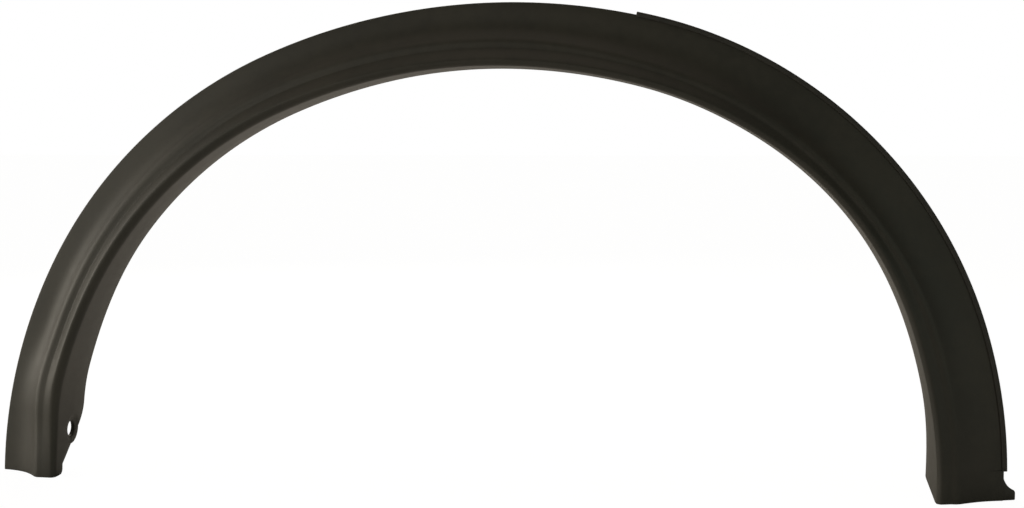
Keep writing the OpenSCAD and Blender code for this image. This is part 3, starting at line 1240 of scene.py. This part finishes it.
    def _hole(self) -> bpy.types.Object:
        """Makes the cutter for the screw hole and its dished seat.

        Returns:
            The cutter.
        """
        r, dish, depth, over = self.hole_radius, self.dish_radius, self.dish_depth, self.overlap
        slope = (dish - r) / depth
        below, above, out = self.dish_foot_round
        inside, outside, raised = self.dish_rim_round
        corners = (
            ((r, -depth - below), (r, -depth + above), (r + out, -depth + out / slope)),
            ((dish - inside, -inside / slope), (dish, 0), (dish + outside, raised)),
        )
        foot, rim = (bend(*corner, self.round_steps) for corner in corners)
        profile = [(r, -self.section.wall - self.pad_height - over), *foot, *rim, (dish + outside, over)]
        return turned("hole", profile, self._hole_place(), self.round_sides)

    def _pad(self) -> bpy.types.Object:
        """Makes the pad behind the dished seat.

        Returns:
            The pad.
        """
        wall, r, e = self.section.wall, self.dish_radius + self.pad_rim, self.pad_round
        low = -wall - self.pad_height
        profile = [*bend((r - e, low), (r, low), (r, low + e), self.pad_steps), (r, -wall / 2)]
        return turned("pad", profile, self._hole_place(), self.round_sides)

    def _toe(self) -> bpy.types.Object:
        """Makes the toe that sweeps out of the right foot's outer edge.

        Returns:
            The toe.
        """
        wall, sweep, reach, steps = self.section.wall, self.toe_sweep, self.toe_reach, self.round_steps
        height = self.toe_tip + math.sqrt(sweep ** 2 - (sweep - reach) ** 2)
        tip_angle = math.acos((sweep - reach) / sweep)
        angles = [tip_angle * k / self.toe_steps for k in range(self.toe_steps + 1)]
        arc = [(sweep - sweep * math.cos(a), height - sweep * math.sin(a)) for a in angles]
        outline = [
            (-wall, 0),
            *bend((reach - self.toe_foot_corner, 0), (reach, 0), (reach, self.toe_foot_corner), steps),
            *bend((reach, self.toe_tip - self.toe_corner), (reach, self.toe_tip), arc[-steps], steps),
            *reversed(arc[:-steps]),
            (-wall, height),
        ]
        right = self.edge.arcs()[-1]
        foot_x = right.centre[0] + math.sqrt(right.radius ** 2 - right.centre[1] ** 2)
        front = -self.section.rim.at(1.0) + self.section.rim_round
        place = local_frame((foot_x, front, 0), math.radians(self.toe_turn), "Z")
        e, small = self.toe_round, self.toe_round * self.toe_round_share
        near_side = [(0.0, e), (small, small), (e, 0.0)]
        levels = [*near_side, *((wall - y, inset) for y, inset in reversed(near_side))]
        rings = [
            [place @ Vector((x, y, max(z, 0.0))) for x, z in shrunk(outline, inset)]
            for y, inset in levels
        ]
        return loft("toe", rings)

    def _groove(self) -> bpy.types.Object:
        """Makes the cutter for the short witness groove on the cove beside the seal's end.

        Returns:
            The cutter.
        """
        distance = self.edge.right_distance(self.groove_height)
        show = self.section.show(distance / self.edge.length, 0.0)
        start, later = (Vector(show[self.section.cove_start + k]) for k in (0, self.section.cove_steps // 3))
        chord = later - start
        turn = Matrix.Rotation(math.atan2(chord.y, chord.x), 4, "Z")
        place = self.edge.frame_at(distance) @ Matrix.Translation((start.x, start.y, 0)) @ turn
        near, far, over = self.groove_start, self.groove_length, self.overlap
        (wide, deep), (tail, left_over) = self.groove_size, self.groove_run_out
        corners = [(near, -over), (far, -over), (far, deep * left_over), (far - tail, deep), (near, deep)]
        rings = [[place @ Vector((x, y, z)) for x, y in corners] for z in (-wide / 2, wide / 2)]
        return loft("groove", rings)


@dataclass
class EdgeSeal:
    """The soft seal on the right of the outer edge. Lengths are in millimetres."""

    edge: OuterEdge
    section: FaceSection
    material: bpy.types.Material
    start: float = 0.592
    end_height: float = 25.0
    proud: float = 2.5
    lap: float = 1.7
    lip: float = 1.3
    gap: float = 0.15
    back_corner: float = 0.5
    front_corner: float = 1.5
    nose_corner: float = 0.6
    corner_steps: tuple[int, int, int] = (2, 8, 4)
    steepening: float = 1.5
    ring_pitch: float = 4.0
    end_round: tuple[Point, ...] = ((0.0, 0.3), (0.1, 0.09), (0.35, 0.0))
    crease: float = 40.0

    def build(self) -> bpy.types.Object:
        """Builds the seal.

        Returns:
            The object.
        """
        first = self.start * self.edge.length
        last = self.edge.right_distance(self.end_height)
        distances = [first, *between(first, last, self.ring_pitch), last]
        seal = laid_loft("seal", distances, self.end_round, self._ring, self.edge.tree(self.material))
        shade(seal, self.material, self.crease)
        return seal

    def _ring(self, distance: float) -> list[Point]:
        """Draws the seal's section.

        Args:
            distance: Length along the edge.

        Returns:
            The closed outline, as distances inwards from the outer edge and Y.
        """
        under = self.section.rim.at(distance / self.edge.length) + self.gap
        top = under + self.lip
        slope = self.section.start_slope * self.steepening
        nose = -under - (self.lap - self.section.rim_round) * slope
        out, lap, back, front = -self.proud, self.lap, self.back_corner, self.front_corner
        back_steps, front_steps, nose_steps = self.corner_steps
        return [
            *bend((out + back, 0), (out, 0), (out, -back), back_steps),
            *bend((out, -top + front), (out, -top), (out + front, -top), front_steps),
            *bend((lap - self.nose_corner, -top), (lap, -top), (lap, (nose - top) / 2), nose_steps),
            (lap, nose),
            (-self.gap, -under),
            (-self.gap, 0),
        ]


# The studio


@dataclass(frozen=True)
class Lamp:
    """A soft square lamp that points at the trim. Lengths are in metres, its power in watts."""

    name: str
    place: Triple
    size: float
    power: float
    colour: Triple
    target: Triple = (0, 0, 0.2)

    def build(self) -> None:
        """Adds the lamp."""
        data = bpy.data.lights.new(self.name, "AREA")
        data.shape = "SQUARE"
        data.size = self.size
        data.energy = self.power
        data.color = self.colour
        lamp = add_object(self.name, data)
        lamp.location = self.place
        way = Vector(self.target) - Vector(self.place)
        lamp.rotation_euler = way.to_track_quat("-Z", "Y").to_euler()
        lamp.visible_camera = False


@dataclass(frozen=True)
class Glow:
    """A soft patch of the surroundings that lights the trim."""

    way: Triple
    sharpness: float
    strength: float
    colour: Colour

    def shader(self, graph: Graph, toward: list[Value], unseen: Value) -> bpy.types.NodeSocket:
        """Builds the patch's light.

        Args:
            graph: The world's tree.
            toward: The direction that is looked along, as X, Y and Z.
            unseen: 1 for light and 0 for the camera.

        Returns:
            The shader.
        """
        length = math.hypot(*self.way)
        x, y, z = (part * (share / length) for part, share in zip(toward, self.way))
        facing = x + y + z
        spread = (facing * (facing > 0.0)) ** self.sharpness
        glow = {"Color": self.colour, "Strength": spread * unseen * self.strength}
        return graph.node("ShaderNodeBackground", glow).outputs[0]


@dataclass
class Studio:
    """The camera, the lamps, the pale floor and the surroundings, in metres and degrees."""

    eye: Triple = (0.1613, -1.158, 0.296)
    down: float = 4.68
    left: float = 6.87
    focal_pixels: float = 1363.0
    picture_width: float = 1024.0
    sensor: float = 36.0
    floor_size: float = 60.0
    floor_colour: Colour = (0.8, 0.8, 0.8, 1.0)
    floor_white: float = 0.9
    floor_glow: float = 1.08
    lamps: tuple[Lamp, ...] = (
        Lamp("front_lamp", (-0.9, -1.2, 0.3), 0.6, 2.1, (1.0, 0.94, 0.8)),
        Lamp("left_lamp", (-1.4, -0.2, 0.2), 0.6, 1.6, (1.0, 0.94, 0.8)),
        Lamp("back_lamp", (-0.6, 1.4, 1.2), 1.0, 13.0, (1.0, 0.9, 0.76)),
    )
    glows: tuple[Glow, ...] = (
        Glow((-1, 0, 0), 6.0, 2.3, (1.08, 1.0, 0.87, 1.0)),
        Glow((-1, -1, 0), 8.0, 0.88, (1.07, 1.0, 0.88, 1.0)),
        Glow((1, -1, 0), 8.0, 0.62, (0.95, 1.05, 0.88, 1.0)),
        Glow((0, 0, 1), 6.0, 0.46, (1.14, 1.0, 0.84, 1.0)),
    )

    def build(self) -> None:
        """Builds the studio."""
        bpy.context.scene.view_settings.view_transform = "Standard"
        self._camera()
        self._floor()
        self._world()
        for lamp in self.lamps:
            lamp.build()

    def _camera(self) -> None:
        """Adds the camera at the photograph's viewpoint."""
        data = bpy.data.cameras.new("camera")
        data.sensor_width = self.sensor
        data.lens = self.focal_pixels / self.picture_width * self.sensor
        camera = add_object("camera", data)
        camera.location = self.eye
        camera.rotation_euler = (math.radians(90 - self.down), 0, math.radians(self.left))
        bpy.context.scene.camera = camera

    def _floor(self) -> None:
        """Adds the pale floor, white to the camera apart from the shadow on it."""
        half = self.floor_size / 2
        sides = ((-half, -half), (half, -half), (half, half), (-half, half))
        corners = [Vector((x, y, 0)) for x, y in sides]
        floor = make_piece("floor", corners, [[0, 1, 2, 3]])
        material = bpy.data.materials.new("pale_floor")
        graph = Graph.of(material)
        plain = graph.node("ShaderNodeBsdfDiffuse", {"Color": self.floor_colour}).outputs[0]
        white = graph.node("ShaderNodeEmission", {"Strength": self.floor_glow}).outputs[0]
        seen = graph.value("ShaderNodeLightPath", {}, "Is Camera Ray")
        mixed = graph.node("ShaderNodeMixShader", {0: seen * self.floor_white, 1: plain, 2: white})
        graph.node("ShaderNodeOutputMaterial", {"Surface": mixed.outputs[0]})
        floor.data.materials.append(material)

    def _world(self) -> None:
        """Makes the surroundings white to the camera, and lights the trim from a few soft patches."""
        world = bpy.data.worlds.new("surroundings")
        bpy.context.scene.world = world
        graph = Graph.of(world)
        seen = graph.value("ShaderNodeLightPath", {}, "Is Camera Ray")
        toward = graph.split(graph.node("ShaderNodeTexCoord").outputs["Generated"])
        white = {"Color": (1.0, 1.0, 1.0, 1.0), "Strength": seen}
        light = graph.node("ShaderNodeBackground", white).outputs[0]
        for glow in self.glows:
            both = {0: light, 1: glow.shader(graph, toward, 1 - seen)}
            light = graph.node("ShaderNodeAddShader", both).outputs[0]
        graph.node("ShaderNodeOutputWorld", {"Surface": light})


def dress(piece: bpy.types.Object, node: str) -> None:
    """Puts a piece in the place of a CAD node.

    Args:
        piece: The finished piece.
        node: The node that it stands for.
    """
    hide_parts(node)
    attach(piece, "root")
    LOG.info("%s stands for %s with %d faces", piece.name, node, len(piece.data.polygons))


def main() -> None:
    """Builds the trim and its studio."""
    logging.basicConfig(level=logging.INFO)
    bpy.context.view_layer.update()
    Studio().build()
    edge = OuterEdge()
    section = FaceSection()
    dress(ArchMoulding(edge, section, MouldedPlastic().material()).build(), "arch_moulding")
    dress(EdgeSeal(edge, section, SealRubber().material()).build(), "edge_seal")


if __name__ == "__main__":
    main()
